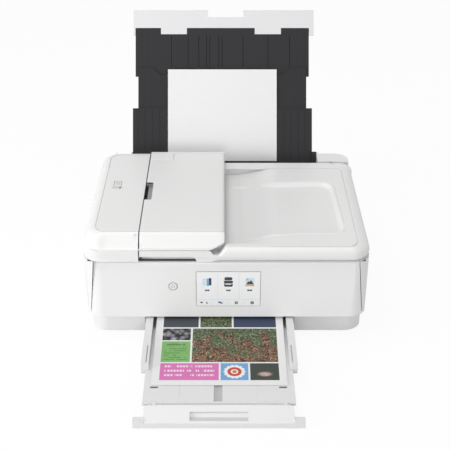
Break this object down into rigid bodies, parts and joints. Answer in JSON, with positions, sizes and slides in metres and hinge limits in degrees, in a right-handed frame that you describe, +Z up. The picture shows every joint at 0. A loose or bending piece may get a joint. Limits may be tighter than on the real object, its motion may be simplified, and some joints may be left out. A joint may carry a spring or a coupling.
{
  "type": "inkjet printer",
  "caption": "Desktop inkjet printer with scanner, automatic document feeder, tilting front screen, pull-out paper trays and rear paper support.",
  "frame": {"origin": "middle of the underside, on the surface that the printer stands on", "axes": "+Z up, +Y towards the rear, where the paper support leans back, +X to the right as seen from the front"},
  "size_m": [0.468, 0.7561, 0.4089],
  "materials": {
    "shell_white": "fine satin texture, moulded",
    "panel_white": "satin, smooth",
    "tray_white": "satin",
    "pad_white": "soft, matt",
    "charcoal": "matt, finely textured",
    "cap_grey": "satin",
    "chassis_steel": "bright galvanised sheet",
    "shaft_steel": "ground, bright",
    "motor_steel": "plated can",
    "rubber_grey": "matt",
    "belt_black": "matt",
    "black_plastic": "matt",
    "grey_plastic": "satin",
    "gear_white": "smooth",
    "brass_gold": "machined",
    "board_green": "satin lacquer",
    "tank_black": "glossy",
    "tank_grey": "glossy",
    "tank_cyan": "glossy",
    "tank_magenta": "glossy",
    "tank_yellow": "glossy",
    "port_metal": "plated",
    "pane_glass": "polished",
    "screen_face": "lit, glossy",
    "paper": "plain paper",
    "paper_printed": "printed paper"
  },
  "bodies": {
    "housing": {"base_pan": "shell_white", "rubber_feet": "rubber_grey", "main_case": "shell_white", "rear_case": "shell_white", "chassis_frame": "chassis_steel", "platen": "black_plastic", "guide_rod": "shaft_steel", "paper_belt": "belt_black", "feed_motor": "motor_steel", "carriage_belt": "belt_black", "carriage_motor": "motor_steel", "maintenance_station": "grey_plastic", "main_board": "board_green", "power_supply": "motor_steel", "power_inlet": "black_plastic", "data_ports": "port_metal", "rear_feed_tray": "charcoal", "printed_sheet": "paper_printed", "hinge_pins": "shaft_steel"},
    "scanner": {"scanner_unit": "shell_white", "platen_glass": "pane_glass", "scan_rod": "shaft_steel"},
    "scan_carriage": {"scan_bar": "black_plastic"},
    "lid": {"document_cover": "shell_white", "cover_pad": "pad_white"},
    "feeder_lid": {"feeder_cover": "shell_white"},
    "feeder_tray": {"document_tray": "shell_white"},
    "page_roller": {"feeder_roller": "rubber_grey"},
    "panel": {"operation_panel": "panel_white", "touch_screen": "screen_face"},
    "button": {"power_button": "panel_white"},
    "cassette": {"paper_cassette": "tray_white"},
    "tray": {"output_tray": "tray_white"},
    "extension": {"output_extension": "tray_white"},
    "flap": {"output_support": "tray_white"},
    "support_2": {"support_middle": "charcoal"},
    "support_3": {"support_upper": "charcoal", "support_cap": "cap_grey"},
    "guide_left": {"rear_guide_left": "charcoal"},
    "guide_right": {"rear_guide_right": "charcoal"},
    "carriage": {"print_carriage": "black_plastic", "print_head": "shaft_steel", "ink_tank_1": "tank_black", "ink_tank_2": "tank_grey", "ink_tank_3": "tank_cyan", "ink_tank_4": "tank_magenta", "ink_tank_5": "tank_yellow"},
    "belt_drive": {"drive_pulley": "brass_gold"},
    "belt_idler": {"idler_pulley": "grey_plastic"},
    "feed": {"feed_roller": "rubber_grey", "feed_gear": "gear_white"},
    "pinion": {"motor_pinion": "brass_gold"},
    "turn": {"turn_roller": "rubber_grey"},
    "eject": {"eject_roller": "rubber_grey"},
    "pinch": {"pinch_rollers": "gear_white"},
    "stars": {"star_wheels": "shaft_steel"},
    "pickup": {"pickup_arm": "black_plastic"},
    "pick_wheel": {"pickup_roller": "rubber_grey"},
    "back_cover": {"rear_cover": "tray_white"},
    "blank": {"blank_sheet": "paper"}
  },
  "joints": [
    {"name": "scanner_hinge", "type": "hinge", "parent": "housing", "child": "scanner", "pos_m": [0, 0.139, 0.1655], "axis": [-1, 0, 0], "range_deg": [0, 35]},
    {"name": "cover_hinge", "type": "hinge", "parent": "scanner", "child": "lid", "pos_m": [0, 0.139, 0.1655], "axis": [-1, 0, 0], "range_deg": [0, 55]},
    {"name": "scan_travel", "type": "slide", "parent": "scanner", "child": "scan_carriage", "axis": [1, 0, 0], "range_m": [0, 0.318]},
    {"name": "feeder_cover_hinge", "type": "hinge", "parent": "lid", "child": "feeder_lid", "pos_m": [-0.2295, 0, 0.1515], "axis": [0, -1, 0], "range_deg": [0, 75]},
    {"name": "document_tray_hinge", "type": "hinge", "parent": "lid", "child": "feeder_tray", "pos_m": [-0.008, 0, 0.1855], "axis": [0, -1, 0], "range_deg": [-150, 0]},
    {"name": "page_roller_spin", "type": "hinge", "parent": "lid", "child": "page_roller", "pos_m": [-0.165, 0, 0.166], "axis": [0, 1, 0], "continuous": true},
    {"name": "panel_tilt", "type": "hinge", "parent": "housing", "child": "panel", "pos_m": [0, -0.1709, 0.13814], "axis": [-1, 0, 0], "range_deg": [0, 45]},
    {"name": "power_press", "type": "slide", "parent": "panel", "child": "button", "axis": [0, 0.9986, -0.0523], "range_m": [0, 0.001], "stiffness_N_per_m": 400},
    {"name": "output_tray_slide", "type": "slide", "parent": "housing", "child": "tray", "axis": [0, 1, 0], "range_m": [0, 0.118]},
    {"name": "extension_slide", "type": "slide", "parent": "tray", "child": "extension", "axis": [0, 1, 0], "range_m": [0, 0.079]},
    {"name": "output_support_hinge", "type": "hinge", "parent": "extension", "child": "flap", "pos_m": [0, -0.396, 0.023], "axis": [1, 0, 0], "range_deg": [-135, 0]},
    {"name": "cassette_slide", "type": "slide", "parent": "housing", "child": "cassette", "axis": [0, 1, 0], "range_m": [-0.2, 0]},
    {"name": "support_middle_slide", "type": "slide", "parent": "housing", "child": "support_2", "axis": [0, -0.4787, -0.878], "range_m": [0, 0.0775]},
    {"name": "support_upper_slide", "type": "slide", "parent": "support_2", "child": "support_3", "axis": [0, -0.4787, -0.878], "range_m": [0, 0.0775]},
    {"name": "rear_guide_left_slide", "type": "slide", "parent": "housing", "child": "guide_left", "axis": [-1, 0, 0], "range_m": [0, 0.043]},
    {"name": "rear_guide_right_slide", "type": "slide", "parent": "housing", "child": "guide_right", "axis": [1, 0, 0], "range_m": [0, 0.043]},
    {"name": "carriage_travel", "type": "slide", "parent": "housing", "child": "carriage", "axis": [-1, 0, 0], "range_m": [0, 0.318]},
    {"name": "belt_drive_spin", "type": "hinge", "parent": "housing", "child": "belt_drive", "pos_m": [0.198, 0, 0.085], "axis": [0, -1, 0], "continuous": true},
    {"name": "belt_idler_spin", "type": "hinge", "parent": "housing", "child": "belt_idler", "pos_m": [-0.198, 0, 0.085], "axis": [0, -1, 0], "continuous": true},
    {"name": "feed_spin", "type": "hinge", "parent": "housing", "child": "feed", "pos_m": [0, 0.088, 0.043], "axis": [1, 0, 0], "continuous": true},
    {"name": "pinion_spin", "type": "hinge", "parent": "housing", "child": "pinion", "pos_m": [0, 0.088, 0.069], "axis": [1, 0, 0], "continuous": true},
    {"name": "turn_spin", "type": "hinge", "parent": "housing", "child": "turn", "pos_m": [0, 0.11571, 0.027], "axis": [1, 0, 0], "continuous": true},
    {"name": "eject_spin", "type": "hinge", "parent": "housing", "child": "eject", "pos_m": [0, -0.055, 0.043], "axis": [1, 0, 0], "continuous": true},
    {"name": "pinch_spin", "type": "hinge", "parent": "housing", "child": "pinch", "pos_m": [0, 0.088, 0.0541], "axis": [1, 0, 0], "continuous": true},
    {"name": "star_spin", "type": "hinge", "parent": "housing", "child": "stars", "pos_m": [0, -0.055, 0.0549], "axis": [1, 0, 0], "continuous": true},
    {"name": "pickup_arm_hinge", "type": "hinge", "parent": "housing", "child": "pickup", "pos_m": [0, 0.085, 0.03], "axis": [-1, 0, 0], "range_deg": [0, 12]},
    {"name": "pickup_spin", "type": "hinge", "parent": "pickup", "child": "pick_wheel", "pos_m": [0, 0.062, 0.028], "axis": [1, 0, 0], "continuous": true},
    {"name": "blank_sheet_draw", "type": "slide", "parent": "housing", "child": "blank", "axis": [0, 0.4787, 0.878], "range_m": [0, 0.25]},
    {"name": "rear_cover_hinge", "type": "hinge", "parent": "housing", "child": "back_cover", "pos_m": [0, 0.1805, 0.0215], "axis": [-1, 0, 0], "range_deg": [0, 80]}
  ],
  "couplings": [
    {"joint": "pinion_spin", "follows": "feed_spin", "ratio": -3.3333},
    {"joint": "turn_spin", "follows": "feed_spin", "ratio": -1.6667},
    {"joint": "eject_spin", "follows": "feed_spin", "ratio": 1},
    {"joint": "pinch_spin", "follows": "feed_spin", "ratio": -1.625},
    {"joint": "star_spin", "follows": "feed_spin", "ratio": -1.413},
    {"joint": "belt_drive_spin", "follows": "carriage_travel", "rad_per_m": -166.67},
    {"joint": "belt_idler_spin", "follows": "carriage_travel", "rad_per_m": -166.67},
    {"joint": "rear_guide_right_slide", "follows": "rear_guide_left_slide", "ratio": 1}
  ]
}
